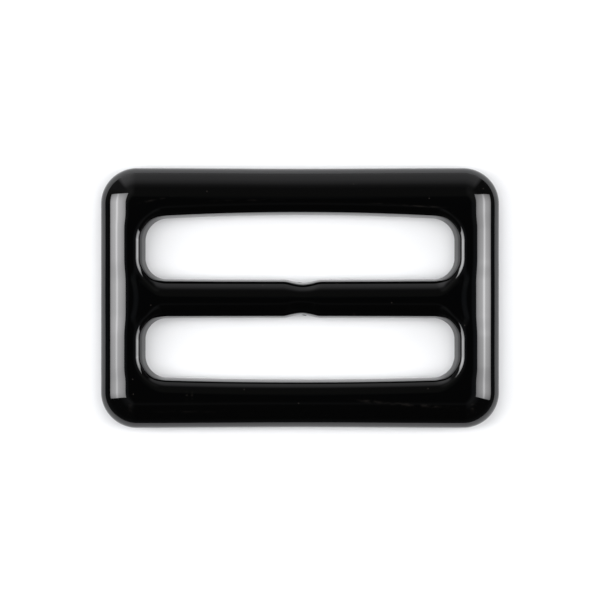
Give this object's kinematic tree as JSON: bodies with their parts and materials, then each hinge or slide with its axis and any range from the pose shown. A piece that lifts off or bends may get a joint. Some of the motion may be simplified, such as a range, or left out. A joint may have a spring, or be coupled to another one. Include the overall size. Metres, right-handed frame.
{
  "type": "buckle slider",
  "caption": "Flat rectangular strap slider with rounded corners, a crowned rim, long strap slots and a notched centre bar between them.",
  "frame": {"origin": "middle of the flat back, on the surface that the slider lies on", "axes": "+X along the slots, across the strap's width; +Y along the strap; +Z out of the crowned front"},
  "size_m": [0.0516, 0.0338, 0.0045],
  "materials": {
    "gloss_black": "high gloss as moulded"
  },
  "bodies": {
    "root": {"outer_frame": "gloss_black", "centre_bar": "gloss_black"}
  },
  "joints": []
}
